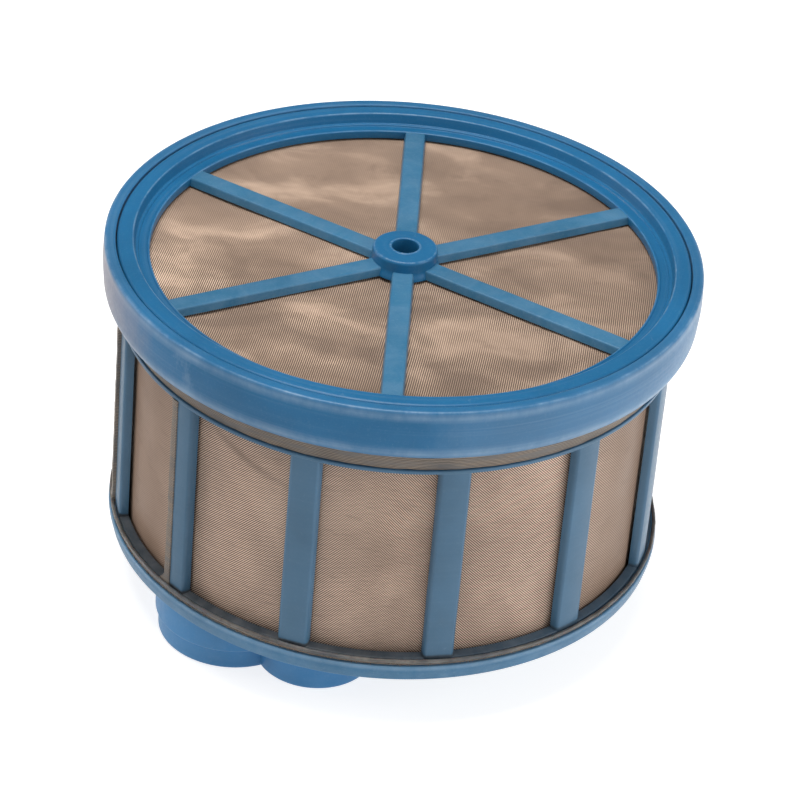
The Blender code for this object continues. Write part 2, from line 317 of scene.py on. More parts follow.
def blue_plastic(name, base, wear_and_highlight, worn_edge_highlights=(), highlight_bands=(), flow=1.0, film=0.0,
                 shaded_below=None, sheen_and_tint_stretches=()):
    """Satin moulded plastic.

    edge lines: (radius, height, half width) of each pale line along an edge: a painted highlight, broken up
    like wear.
    height lines: (height, half width) of each painted highlight band round a wall.
    flow, film: how strongly turning marks and a pale film of wear show.
    shaded below: a height under which it is painted dark with shade, less so at +X.
    stretches: (angle, half angle, softness, strength, colour) of each tinted stretch round the wall below
    its top, such as a painted reflection."""
    n = Nodes(name)
    angle, radius = n.angle(), n.radius()
    around = n.math("MULTIPLY", angle, 0.05)
    cloudy = n.noise(n.coords, 45.0, 4.0, 0.6)
    fine = n.noise(n.coords, 1500.0, 3.0, 0.6)
    turning = n.noise(n.join(n.math("MULTIPLY", around, 14.0), n.math("MULTIPLY", radius, 1300.0),
                             n.math("MULTIPLY", n.z, 1700.0)), 1.0, 3.0, 0.65)
    dark = tuple(0.78 * value for value in base[:3]) + (1.0,)
    colour = n.mix(n.span(cloudy, 0.35, 0.68), base, dark)
    colour = n.mix(n.span(turning, 0.5, 0.75, 0.0, 0.10 * flow), colour, wear_and_highlight)
    speckle = n.noise(n.coords, 2600.0, 2.0, 0.5)
    colour = n.mix(n.span(speckle, 0.55, 0.8, 0.0, 0.05 + 0.25 * film), colour, wear_and_highlight)
    if film:
        patches = n.noise(n.coords, 210.0, 5.0, 0.65, 0.5)
        colour = n.mix(n.span(patches, 0.36, 0.7, 0.25 * film, film), colour, wear_and_highlight)
    breakup = n.noise(n.join(n.math("MULTIPLY", around, 260.0), n.math("MULTIPLY", radius, 150.0),
                          n.math("MULTIPLY", n.z, 150.0)), 1.0, 4.0, 0.65)
    # Painted highlights along rounded edges, in the pale colour, broken up like wear.
    for edge_radius, edge_height, half in worn_edge_highlights:
        line = n.math("MULTIPLY", n.band(radius, edge_radius, half), n.band(n.z, edge_height, half))
        line = n.math("MULTIPLY", line, n.span(breakup, 0.40, 0.66, 0.10, 1.0))
        colour = n.mix(n.math("MULTIPLY", line, 0.38), colour, wear_and_highlight)
    # Painted highlight bands round a wall, in the pale colour.
    for line_height, half in highlight_bands:
        line = n.math("MULTIPLY", n.band(n.z, line_height, half), n.span(breakup, 0.35, 0.65, 0.15, 0.35))
        colour = n.mix(line, colour, wear_and_highlight)
    # Tinted stretches round the wall below its top, painted reflections among them.
    for middle, half, soft, strength, tint in sheen_and_tint_stretches:
        away = n.math("ABSOLUTE", n.math("WRAP", n.math("SUBTRACT", angle, middle), math.pi, -math.pi))
        away = n.math("ADD", away, n.math("MULTIPLY", n.math("SUBTRACT", breakup, 0.5), 0.25))
        share = n.span(away, half - soft, half + soft, strength, 0.0)
        share = n.math("MULTIPLY", share, n.span(n.z, TOP - 1.2 * MM, TOP - 0.3 * MM, 1.0, 0.0))
        colour = n.mix(share, colour, tint)
    scratches = n.noise(n.join(n.math("MULTIPLY", n.x, 520.0), n.math("MULTIPLY", n.y, 160.0),
                               n.math("MULTIPLY", n.z, 330.0)), 1.0, 6.0, 0.72, 0.6)
    colour = n.mix(n.span(scratches, 0.66, 0.76, 0.0, 0.22), colour, wear_and_highlight)
    # Painted shade: dark grey below a height, with a ragged edge, lighter towards +X.
    if shaded_below is not None:
        ragged = n.math("ADD", n.z, n.math("MULTIPLY", n.math("SUBTRACT", breakup, 0.5), 0.4 * MM))
        foot_shade = n.span(ragged, shaded_below - 0.25 * MM, shaded_below + 0.15 * MM, 0.86, 0.0)
        foot_shade = n.math("MULTIPLY", foot_shade, n.span(n.x, 0.0, 0.03, 1.0, 0.62))
        colour = n.mix(foot_shade, colour, n.mix(n.span(breakup, 0.35, 0.65), SHADE_GREY, SHADE_GREY_PALE))
    rough = n.math("ADD", n.span(fine, 0.3, 0.7, 0.30, 0.42), n.span(scratches, 0.6, 0.75, 0.0, 0.15))
    height = n.math("ADD", n.math("MULTIPLY", turning, 0.5 * flow), n.math("MULTIPLY", fine, 0.3))
    normal = n.bump(height, 0.16, 0.1 * MM)
    normal = n.bump(cloudy, 0.10, 0.6 * MM, normal)
    return n.finish(colour, rough, normal, Subsurface_Weight=0.12, Subsurface_Scale=1.2 * MM,
                    Subsurface_Radius=(0.3, 0.6, 1.0), IOR=1.49, Specular_IOR_Level=0.32)


def weave_height(n, u, v):
    """Height of wires side by side, one for each unit of u, in bricked stitches one unit of v long."""
    turns = n.math("MULTIPLY", u, 2.0 * math.pi)
    across = n.math("SUBTRACT", 0.5, n.math("MULTIPLY", n.math("COSINE", turns), 0.5))
    shifted = n.math("ADD", v, n.math("MULTIPLY", n.math("FLOOR", u), 0.5))
    stitch = n.math("COSINE", n.math("MULTIPLY", shifted, 2.0 * math.pi))
    return n.math("MULTIPLY", across, n.math("SUBTRACT", 0.93, n.math("MULTIPLY", stitch, 0.07)))


def wire_cloth(name, flat, stain=0.5, tint=(1.0, 1.0, 1.0)):
    """Woven wire, tinted by place to match the photograph.

    The flat end shows wires nearly along Y, which fade towards the back; painted shade darkens it to the
    right and front, and a little to the back. The sleeve lies on the bias:
    rising wires show at -X and falling ones at +X, its sides carry painted brown shade and are plainer, and
    a painted crease shadow crosses its front left."""
    n = Nodes(name)
    drift = n.noise(n.coords, 38.0, 2.0, 0.5)
    wander = n.math("MULTIPLY", n.math("SUBTRACT", drift, 0.5), 1.3)
    if flat:
        lean = n.math("ADD", END_LEAN, n.math("MULTIPLY", n.x, END_FAN))
        straight = n.math("SUBTRACT", n.x, n.math("MULTIPLY", n.y, lean))
        u = n.math("MULTIPLY", straight, END_WIRES)
        v = n.math("DIVIDE", n.y, END_STITCH)
        level = weave_height(n, n.math("ADD", u, wander), v)
        clear = n.span(n.y, -10.0 * MM, 20.0 * MM, 0.85, 0.08)
    else:
        turn = n.math("DIVIDE", n.angle(), 2.0 * math.pi)
        rise = n.math("ADD", n.math("MULTIPLY", n.z, SIDE_RISE), wander)
        slant = n.math("MULTIPLY", turn, SIDE_COURSES)
        v = n.math("MULTIPLY", turn, SIDE_STITCHES)
        rising = weave_height(n, n.math("SUBTRACT", rise, slant), v)
        falling = weave_height(n, n.math("ADD", rise, slant), v)
        ragged = n.math("MULTIPLY", n.math("SUBTRACT", drift, 0.5), 0.8)
        mixed = n.math("ADD", n.math("SINE", n.angle()), ragged)
        share = n.span(mixed, -0.26, 0.26)
        level = n.math("ADD", n.math("MULTIPLY", falling, share),
                       n.math("MULTIPLY", rising, n.math("SUBTRACT", 1.0, share)))
        clear = n.span(n.noise(n.coords, 60.0, 3.0, 0.6), 0.3, 0.6, 0.75, 1.0)
        clear = n.math("MULTIPLY", clear, n.span(n.x, -BLURRED_X, -CLEAR_X, 0.15, 1.0))
        clear = n.math("MULTIPLY", clear, n.span(n.x, CLEAR_X, BLURRED_X, 1.0, 0.5))
    patches = n.noise(n.coords, 30.0, 5.0, 0.62, 0.4)
    streaks = n.noise(n.join(n.math("MULTIPLY", n.x, 260.0), n.math("MULTIPLY", n.y, 260.0),
                             n.math("MULTIPLY", n.z, 1500.0)), 1.0, 3.0, 0.6)
    # Painted light on the weave: gap is painted shade in the openings, high a painted highlight on the wire
    # crowns, dulled where stains lie, and low the wires' own brown.
    gap = rgb(0.050 * tint[0], 0.036 * tint[1], 0.030 * tint[2])
    low = rgb(0.20 * tint[0], 0.135 * tint[1], 0.095 * tint[2])
    high = rgb(0.98 * tint[0], 0.70 * tint[1], 0.50 * tint[2])
    stained = rgb(0.56 * tint[0], 0.39 * tint[1], 0.27 * tint[2])
    even = rgb(0.37 * tint[0], 0.257 * tint[1], 0.182 * tint[2])
    colour = n.mix(n.span(level, 0.06, 0.34), gap, low)
    bright = n.mix(n.span(patches, 0.42, 0.66, 0.0, stain), high, stained)
    colour = n.mix(n.span(level, 0.30, 0.85), colour, bright)
    colour = n.mix(clear, even, colour)
    # Painted shade and highlight of folds: soft darker and lighter patches, stronger on the flat end.
    fold_shading = n.noise(n.join(n.math("MULTIPLY", n.x, 62.0), n.math("MULTIPLY", n.y, 95.0),
                           n.math("MULTIPLY", n.z, 60.0)), 1.0, 3.0, 0.5, 0.5)
    colour = n.mix(n.span(fold_shading, 0.44, 0.66, 0.0, 0.50 if flat else 0.16), colour, n.mix(clear, low, gap))
    colour = n.mix(n.span(fold_shading, 0.30, 0.46, 0.35 if flat else 0.1, 0.0), colour, high)
    colour = n.mix(n.span(patches, 0.5, 0.72, 0.0, 0.45 * stain), colour, low)
    colour = n.mix(n.span(streaks, 0.55, 0.8, 0.0, 0.4), colour, low)
    # Painted shade by place: on the flat end darker towards the right and front and a little towards the
    # back; on the sleeve, brown painted shade towards both sides.
    brown, shaded = rgb(0.135, 0.075, 0.040), rgb(0.120, 0.084, 0.064)
    if flat:
        shade_slope = n.math("SUBTRACT", n.x, n.math("MULTIPLY", n.y, 0.5))
        colour = n.mix(n.span(shade_slope, -30.0 * MM, 30.0 * MM, 0.0, 0.45), colour, shaded)
        colour = n.mix(n.span(n.y, 0.0, 25.0 * MM, 0.0, 0.15), colour, shaded)
    else:
        colour = n.mix(n.span(n.math("ABSOLUTE", n.x), 30.0 * MM, 38.0 * MM, 0.0, 0.42), colour, brown)
        # Painted shade of a crease: a dark line across the sleeve's front left.
        rise = n.math("MULTIPLY", n.math("MULTIPLY", n.angle(), n.angle()), CREASE_RISE)
        line = n.band(n.z, n.math("ADD", rise, CREASE_Z), 1.2 * MM)
        crease_shade = n.math("MULTIPLY", line, n.band(n.angle(), math.radians(-31.0), math.radians(14.0)))
        colour = n.mix(n.math("MULTIPLY", crease_shade, 0.7), colour, low)
    normal = n.bump(level, 0.25, 0.05 * MM)
    return n.finish(colour, n.span(patches, 0.3, 0.7, 0.40, 0.55), normal, Metallic=0.08,
                    Specular_IOR_Level=0.2)


def soaked_cloth(name):
    """Rolled cloth edge filled with plastic: fine wires round it, half drowned in a grey-brown film."""
    n = Nodes(name)
    slow = n.noise(n.coords, 90.0, 2.0, 0.5)
    u = n.math("ADD", n.math("DIVIDE", n.z, 0.30 * MM), n.math("MULTIPLY", slow, 3.0))
    u = n.math("ADD", u, n.math("MULTIPLY", n.angle(), 5.0))
    v = n.math("DIVIDE", n.math("MULTIPLY", n.angle(), 46.5 * MM), 1.3 * MM)
    level = weave_height(n, u, v)
    film = n.noise(n.join(n.math("MULTIPLY", n.angle(), 6.0), 0.0, n.math("MULTIPLY", n.z, 900.0)),
                   1.0, 4.0, 0.6)
    colour = n.mix(n.span(level, 0.15, 0.9), rgb(0.055, 0.046, 0.038), rgb(0.36, 0.28, 0.21))
    colour = n.mix(n.span(film, 0.45, 0.62, 0.15, 0.85), colour, rgb(0.150, 0.143, 0.138))
    colour = n.mix(n.span(slow, 0.50, 0.68, 0.0, 0.45), colour, rgb(0.050, 0.055, 0.062))
    normal = n.bump(level, 0.4, 0.08 * MM)
    return n.finish(colour, n.span(film, 0.3, 0.7, 0.35, 0.55), normal, Specular_IOR_Level=0.3)


def clear_bead(name):
    n = Nodes(name)
    lumps = n.noise(n.coords, 420.0, 4.0, 0.6)
    slow = n.noise(n.coords, 90.0, 2.0, 0.5)
    colour = n.mix(n.span(lumps, 0.35, 0.7), rgb(0.070, 0.066, 0.062), rgb(0.190, 0.180, 0.165))
    colour = n.mix(n.span(slow, 0.4, 0.6, 0.0, 0.5), colour, rgb(0.07, 0.085, 0.105))
    return n.finish(colour, 0.34, n.bump(lumps, 0.4, 0.2 * MM), Specular_IOR_Level=0.4,
                    Subsurface_Weight=0.2, Subsurface_Scale=0.8 * MM)


def seal_rubber(name):
    n = Nodes(name)
    grain = n.noise(n.coords, 1600.0, 3.0, 0.6)
    bloom = n.noise(n.coords, 120.0, 3.0, 0.6)
    colour = n.mix(n.span(bloom, 0.4, 0.7), rgb(0.018, 0.018, 0.019), rgb(0.05, 0.05, 0.05))
    return n.finish(colour, n.span(grain, 0.3, 0.7, 0.55, 0.8), n.bump(grain, 0.3, 0.1 * MM))


BLUE = rgb(0.012, 0.135, 0.300)
CAGE_BLUE = rgb(0.068, 0.157, 0.255)
PALE_BLUE = rgb(0.36, 0.48, 0.60)
# Pinkish grey painted over a stretch of the collar's left side.
PINKISH_GREY = rgb(0.42, 0.34, 0.335)

PLASTIC = blue_plastic("blue_plastic", BLUE, PALE_BLUE)
# Collar: painted highlights along the top outer edge and in bands near the foot and the top; a painted
# reflection as a pale veil over the right side, a thin pale line at the left front, and a pinkish-grey
# stretch over the left side.
COLLAR_PLASTIC = blue_plastic(
    "collar_plastic", BLUE, PALE_BLUE,
    worn_edge_highlights=((49.6 * MM, TOP - 0.1 * MM, 0.35 * MM),),
    highlight_bands=((TOP - 8.0 * MM, 1.5 * MM), (TOP - 1.0 * MM, 1.1 * MM)),
    sheen_and_tint_stretches=((math.radians(60.0), math.radians(50.0), math.radians(4.0), 0.10, PALE_BLUE),
           (math.radians(-41.0), math.radians(1.2), math.radians(1.6), 0.22, PALE_BLUE),
           (math.radians(-90.0), math.radians(24.0), math.radians(16.0), 0.66, PINKISH_GREY)))
# Rim: painted highlights along the rim's inner top edge and along the opening's edge at the ledge, broken up
# like wear.
END_PLASTIC = blue_plastic(
    "end_plastic", BLUE, PALE_BLUE, flow=0.7,
    worn_edge_highlights=((RIM_INNER_R + 0.1 * MM, TOP - 0.1 * MM, 0.22 * MM),
                (OPENING_R + 0.15 * MM, LEDGE_Z, 0.16 * MM)))
# Cage: painted shade on the lower ring's ledge and the rib feet, below the windows.
CAGE_PLASTIC = blue_plastic("cage_plastic", CAGE_BLUE, rgb(0.26, 0.34, 0.42), flow=0.3,
                            shaded_below=WINDOW_FOOT + 0.5 * MM)
SPOKE_PLASTIC = blue_plastic("spoke_plastic", rgb(0.022, 0.150, 0.285), PALE_BLUE, flow=0.3, film=0.14)
# Hub: painted highlights along the bore's edge and the top outer edge.
HUB_PLASTIC = blue_plastic(
    "hub_plastic", BLUE, PALE_BLUE, flow=0.3,
    worn_edge_highlights=((HUB_BORE_R + 0.25 * MM, TOP, 0.25 * MM), (HUB_R - 0.25 * MM, TOP - 0.2 * MM, 0.22 * MM)))
# Pan: a painted highlight band along the rim's top edge.
PAN_PLASTIC = blue_plastic("pan_plastic", rgb(0.028, 0.150, 0.290), PALE_BLUE, flow=0.4, film=0.16,
                           highlight_bands=((PAN_HIGH.z - 0.3 * MM, 0.6 * MM),))
STUB_PLASTIC = blue_plastic("stub_plastic", rgb(0.050, 0.225, 0.470), PALE_BLUE, flow=0.0, film=0.08)
END_CLOTH = wire_cloth("end_cloth", flat=True, stain=0.7, tint=(1.0, 1.03, 1.09))
SIDE_CLOTH = wire_cloth("side_cloth", flat=False, stain=0.5, tint=(0.87, 0.91, 1.0))
HEM_CLOTH = soaked_cloth("hem_cloth")
BEAD = clear_bead("bead")
RUBBER = seal_rubber("rubber")


# ---------------------------------------------------------------- pieces

def build_collar():
    foot, bore, seat = COLLAR_LOW.z, 47.95 * MM, TOP - 7.8 * MM
    profile = [(46.95 * MM, foot), (49.1 * MM, foot), (49.68 * MM, foot + 1.25 * MM),
               (COLLAR_R - 0.02 * MM, TOP - 4.0 * MM), (COLLAR_R - 0.05 * MM, TOP - 2.0 * MM),
               (49.82 * MM, TOP), (bore, TOP), (bore, seat), (46.95 * MM, seat)]
    radii = [0.2, 0.35, 0.5, 2.0, 1.0, 0.45, 0.3, 0.0, 0.2]
    outline = rounded(profile, [value * MM for value in radii])

    def warp(radius, angle, height):
        drift = noise.noise(Vector((math.cos(angle) * 1.6, math.sin(angle) * 1.6, height * 60.0)))
        return radius - 0.05 * MM * (1.0 + drift), height - 0.03 * MM * (1.0 + drift)

    add_object("collar", turned("collar", outline, warp=warp), BODY, COLLAR_PLASTIC,
               ["collar_ring"])


def end_rim_outline():
    foot, outer = END_LOW.z, RIM_R + 0.07 * MM
    profile = [(OPENING_R, foot), (outer, foot),
               (outer, TOP - 0.4 * MM), (outer - 0.4 * MM, TOP - 0.05 * MM),
               (RIM_INNER_R, TOP - 0.05 * MM), (RIM_INNER_R - 0.3 * MM, LEDGE_Z + 0.35 * MM),
               (RIM_INNER_R - 0.75 * MM, LEDGE_Z + 0.3 * MM), (RIM_INNER_R - 0.85 * MM, LEDGE_Z),
               (OPENING_R + 0.5 * MM, LEDGE_Z - 0.02 * MM), (OPENING_R + 0.4 * MM, LEDGE_Z + 0.12 * MM),
               (OPENING_R, LEDGE_Z + 0.05 * MM)]
    radii = [0.2, 0.2, 0.25, 0.25, 0.3, 0.15, 0.15, 0.1, 0.1, 0.1, 0.2]
    return rounded(profile, [value * MM for value in radii])


def build_end_frame():
    """Stepped rim, six spokes that dive under the rim's ledge, and the raised hub."""
    rim = turned("end_rim", end_rim_outline())
    add_object("end_rim", rim, LID, END_PLASTIC, ["end_frame"])
    shape = bmesh.new()
    foot, top = END_LOW.z, LEDGE_Z + 0.1 * MM
    half_foot, half_top = 0.5 * SPOKE_WIDTH + 0.16 * MM, 0.5 * SPOKE_WIDTH - 0.06 * MM
    spoke_from, spoke_to, dive_from, dive_over = 4.2 * MM, 43.3 * MM, 41.6 * MM, 1.4 * MM
    steps = 28
    for index in range(SPOKE_COUNT):
        angle = 2.0 * math.pi * index / SPOKE_COUNT
        sections = []
        for step in range(steps + 1):
            distance = spoke_from + (spoke_to - spoke_from) * step / steps
            dive = min(1.0, max(0.0, (distance - dive_from) / dive_over))
            drift = noise.noise(Vector((distance * 160.0, index * 7.3, 0.4)))
            edge = half_top + 0.035 * MM * drift
            level = top + 0.03 * MM * noise.noise(Vector((distance * 120.0, index * 3.1, 5.0))) - 0.03 * MM
            level -= 0.16 * MM * dive
            flank = [(edge + 0.03 * MM, level - 0.34 * MM), (edge - 0.03 * MM, level - 0.12 * MM),
                     (edge - 0.16 * MM, level - 0.02 * MM), (edge - 0.42 * MM, level)]
            outline = [(-half_foot, foot), (half_foot, foot)] + flank
            outline += [(-side, height) for side, height in reversed(flank)]
            sections.append((distance, outline))
        add_bar(shape, angle, sections)
    add_object("end_spokes", mesh_from(shape, "end_spokes"), LID, SPOKE_PLASTIC,
               ["end_frame"])
    face = TOP - 0.12 * MM
    profile = [(HUB_BORE_R, foot), (HUB_R + 0.5 * MM, foot), (HUB_R + 0.35 * MM, foot + 0.5 * MM),
               (HUB_R, foot + 1.3 * MM), (HUB_R, face), (HUB_BORE_R + 0.5 * MM, face),
               (HUB_BORE_R + 0.35 * MM, TOP), (HUB_BORE_R, TOP)]
    radii = [0.0, 0.1, 0.3, 0.5, 0.65, 0.1, 0.12, 0.2]
    outline = rounded(profile, [value * MM for value in radii], steps=6)
    add_object("end_hub", turned("end_hub", outline, steps=SMALL_STEPS), LID, HUB_PLASTIC,
               ["end_frame"])


def sheet_solid(name, rows, thickness, push):
    """Close a grid of points, wrapped round in its second direction, into a thin solid.

    push(point) is the direction in which the second face lies."""
    shape = bmesh.new()
    faces = []
    for offset in (0.0, thickness):
        faces.append([[shape.verts.new(Vector(point) + push(Vector(point)) * offset) for point in row]
                      for row in rows])
    front, back = faces
    count = len(rows[0])
    for grid, turn in ((front, 1), (back, -1)):
        for lower, upper in zip(grid, grid[1:]):
            for index in range(count):
                after = (index + 1) % count
                shape.faces.new((lower[index], lower[after], upper[after], upper[index])[::turn])
    for edge in (0, -1):
        for index in range(count):
            after = (index + 1) % count
            shape.faces.new((front[edge][index], front[edge][after], back[edge][after], back[edge][index]))
    return mesh_from(shape, name)


def build_end_cloth():
    """Wire disc under the spokes: held flat at the hub, spokes and rim, and sagging between them."""
    inner, outer = 2.4 * MM, CLOTH_HIGH.x
    rings, steps = 76, 360
    gap = 2.0 * math.pi / SPOKE_COUNT
    rows = []
    for ring in range(rings + 1):
        radius = inner + (outer - inner) * ring / rings
        row = []
        for step in range(steps):
            angle = 2.0 * math.pi * step / steps
            x, y = radius * math.sin(angle), -radius * math.cos(angle)
            from_spoke = abs((angle + 0.5 * gap) % gap - 0.5 * gap)
            free = min(1.0, radius * math.sin(from_spoke) / (9.0 * MM))
            free *= min(1.0, max(0.0, (OPENING_R - radius) / (5.0 * MM)))
            roll = noise.noise(Vector((x * 62.0, y * 62.0, 1.7)))
            roll += 0.45 * noise.noise(Vector((x * 150.0, y * 150.0, 4.0)))
            sag = free * (0.55 + 0.85 * roll) * MM
            row.append((x, y, CLOTH_HIGH.z - max(-0.1 * MM, sag) - 0.02 * MM))
        rows.append(row)
    mesh = sheet_solid("end_cloth", rows, 0.2 * MM, lambda point: Vector((0.0, 0.0, -1.0)))
    add_object("end_cloth", mesh, LID, END_CLOTH, ["end_mesh"], sharp=60.0)


def build_side_cloth():
    """Wire sleeve behind the ribs, pulled in at each rib and a little loose between them."""
    rings, steps = 44, 432
    foot, top, outer = SLEEVE_LOW.z, SLEEVE_HIGH.z, SLEEVE_HIGH.x
    rows = []
    for ring in range(rings + 1):
        height = foot + (top - foot) * ring / rings
        row = []
        for step in range(steps):
            angle = 2.0 * math.pi * step / steps
            phase = (angle - RIB_OFFSET) * RIB_COUNT
            between = 0.5 - 0.5 * math.cos(phase)
            share = (height - WINDOW_FOOT) / (WINDOW_TOP - WINDOW_FOOT)
            upright = math.sin(math.pi * min(1.0, max(0.0, share)))
            roll = noise.noise(Vector((math.cos(angle) * 3.2, math.sin(angle) * 3.2, height * 70.0)))
            radius = outer - 0.12 * MM + between * upright * (0.10 + 0.45 * roll) * MM
            radius = min(radius, CAGE_INNER_R - 0.05 * MM)
            row.append((radius * math.sin(angle), -radius * math.cos(angle), height))
        rows.append(row)
    mesh = sheet_solid("side_cloth", rows, 0.2 * MM,
                       lambda point: -Vector((point.x, point.y, 0.0)).normalized())
    add_object("side_cloth", mesh, BODY, SIDE_CLOTH, ["side_mesh"], sharp=60.0)


def build_cage():
    """Upper ring with its neck, lower ring, and twelve ribs with softened edges."""
    upper = rounded([(CAGE_INNER_R, WINDOW_TOP), (CAGE_RING_R, WINDOW_TOP), (CAGE_RING_R, CAGE_RING_TOP),
                     (CAGE_NECK_R, CAGE_RING_TOP), (CAGE_NECK_R, CAGE_HIGH.z), (CAGE_INNER_R, CAGE_HIGH.z)],
                    [0.2 * MM, 0.2 * MM, 0.25 * MM, 0.0, 0.25 * MM, 0.2 * MM])
    lower = rounded([(CAGE_INNER_R, CAGE_LOW.z), (CAGE_FOOT_R, CAGE_LOW.z), (CAGE_FOOT_R, LIP_TOP),
                     (CAGE_LOWER_R, LIP_TOP), (CAGE_LOWER_R, WINDOW_FOOT - 0.15 * MM),
                     (CAGE_INNER_R, WINDOW_FOOT + 0.05 * MM)],
                    [0.0, 0.2 * MM, 0.0, 0.2 * MM, 0.3 * MM, 0.1 * MM])
    shape = bmesh.new()
    add_turned(shape, upper)
    add_turned(shape, lower)
    half = 0.5 * RIB_WIDTH
    inner = CAGE_INNER_R + 0.05 * MM
    foot, top, steps = WINDOW_FOOT - 0.5 * MM, WINDOW_TOP + 0.6 * MM, 12
    for index in range(RIB_COUNT):
        angle = RIB_OFFSET + 2.0 * math.pi * index / RIB_COUNT
        outward = Vector((math.sin(angle), -math.cos(angle), 0.0))
        sideways = Vector((-outward.y, outward.x, 0.0))
        loops = []
        for step in range(steps + 1):
            height = foot + (top - foot) * step / steps
            drift = 0.04 * MM * noise.noise(Vector((height * 120.0, index * 5.7, 2.0)))
            side, face = half + drift, RIB_OUTER_R - 0.04 * MM + 0.5 * drift
            flank = [(side - 0.6 * MM, face - 0.02 * MM), (side - 0.32 * MM, face - 0.12 * MM),
                     (side - 0.06 * MM, face - 0.55 * MM), (side, inner)]
            outline = [(-across, out) for across, out in reversed(flank)]
            outline += [(0.0, face + 0.02 * MM)] + flank
            loops.append([shape.verts.new(sideways * across + outward * out + Vector((0.0, 0.0, height)))
                          for across, out in outline])
        add_skin(shape, loops)
    add_object("cage", mesh_from(shape, "cage"), BODY, CAGE_PLASTIC, ["side_cage"],
               sharp=50.0)


def build_hem():
    """Rolled edge of the cloth above the cage's ring: plump at the front and right, flat at the left."""
    low, high = HEM_LOW.z - 0.12 * MM, HEM_HIGH.z
    outline = [(HEM_ROOT_R, low)]
    steps = 16
    outline += [(HEM_ROOT_R + HEM_ROLL * math.sin(math.pi * (0.1 + 0.62 * step / steps)) ** 0.7,
                 low + (high - low) * step / steps) for step in range(steps + 1)]
    outline += [(HEM_ROOT_R, high)]

    def warp(radius, angle, height):
        around = Vector((math.cos(angle), math.sin(angle), 0.0))
        plump = 0.62 + 0.38 * math.cos(angle - math.radians(-60.0))
        ripple = noise.noise(around * 14.0 + Vector((0.0, 0.0, height * 500.0)))
        crumple = noise.noise(around * 75.0 + Vector((0.0, 0.0, height * 1500.0)))
        edge = noise.noise(around * 20.0) if height < low + 0.3 * MM else 0.0
        out = (radius - HEM_ROOT_R) * plump
        return HEM_ROOT_R + out * (1.0 + 0.25 * ripple + 0.10 * crumple), height + 0.08 * MM * edge

    add_object("hem", turned("hem", outline, steps=2 * RING_STEPS, warp=warp), BODY, HEM_CLOTH,
               ["upper_mesh_hem"])


def build_laps():
    """Two folded laps of the sleeve, pinched along the left flank of two ribs, with a flap at the foot."""
    foot, top, steps = WINDOW_FOOT - 0.4 * MM, WINDOW_TOP + 0.1 * MM, 60
    # number of the rib from the front one, outer radius, width, and right edge from the rib's middle
    laps = ((-3, 47.2 * MM, 2.2 * MM, -2.48 * MM), (-2, 46.85 * MM, 1.75 * MM, -0.75 * MM))
    for index, (number, face, width, right) in enumerate(laps):
        rib_angle = RIB_OFFSET + 2.0 * math.pi * number / RIB_COUNT
        shape = bmesh.new()
        loops = []
        for step in range(steps + 1):
            height = foot + (top - foot) * step / steps
            wave = noise.noise(Vector((height * 260.0, index * 9.1, 3.0)))
            crimp = noise.noise(Vector((height * 1400.0, index * 5.3, 8.0)))
            flare = max(0.0, 1.0 - step / 3.0)
            left = right - width * (1.0 + 0.10 * wave + 0.9 * flare)
            out = face + (0.10 * wave + 0.05 * crimp) * MM
            loop = []
            for across, depth in ((left, LAP_ROOT_R), (left + 0.05 * MM, out - 0.45 * MM),
                                  (left + 0.3 * MM, out - 0.12 * MM), (0.5 * (left + right), out),
                                  (right - 0.15 * MM, out - 0.1 * MM), (right, out - 0.5 * MM),
                                  (right, LAP_ROOT_R)):
                angle = rib_angle + across / face
                loop.append(shape.verts.new((depth * math.sin(angle), -depth * math.cos(angle), height)))
            loops.append(loop)
        add_skin(shape, loops)
        name = "lap_%d" % (index + 1)
        add_object(name, mesh_from(shape, name), BODY, HEM_CLOTH)


def bead_drop(angle):
    """How far the bead sinks below its level: most at the right, not at all at the back left."""
    return -0.32 * MM * (0.5 + 0.5 * math.cos(angle - math.radians(-25.0))) ** 2


def build_bead():
    middle = 0.5 * (BEAD_LOW.z + BEAD_HIGH.z)
    half = 0.5 * (BEAD_HIGH.z - BEAD_LOW.z) + 0.04 * MM
    outline, sides = [], 14
    for step in range(sides):
        turn = 2.0 * math.pi * step / sides
        outline.append((BEAD_MIDDLE_R + BEAD_HALF * math.cos(turn), middle + half * math.sin(turn)))

    def warp(radius, angle, height):
        around = Vector((math.cos(angle), math.sin(angle), 0.0))
        lump = noise.noise(around * 26.0)
        lump += 0.6 * noise.noise(around * 70.0 + Vector((0.0, 0.0, height * 900.0)))
        lift = bead_drop(angle) + 0.04 * MM * noise.noise(around * 18.0)
        return radius + 0.07 * MM * (lump - 0.8), height + lift

    add_object("bead", turned("bead", outline, steps=2 * RING_STEPS, warp=warp), BODY, BEAD,
               ["lower_bead"])


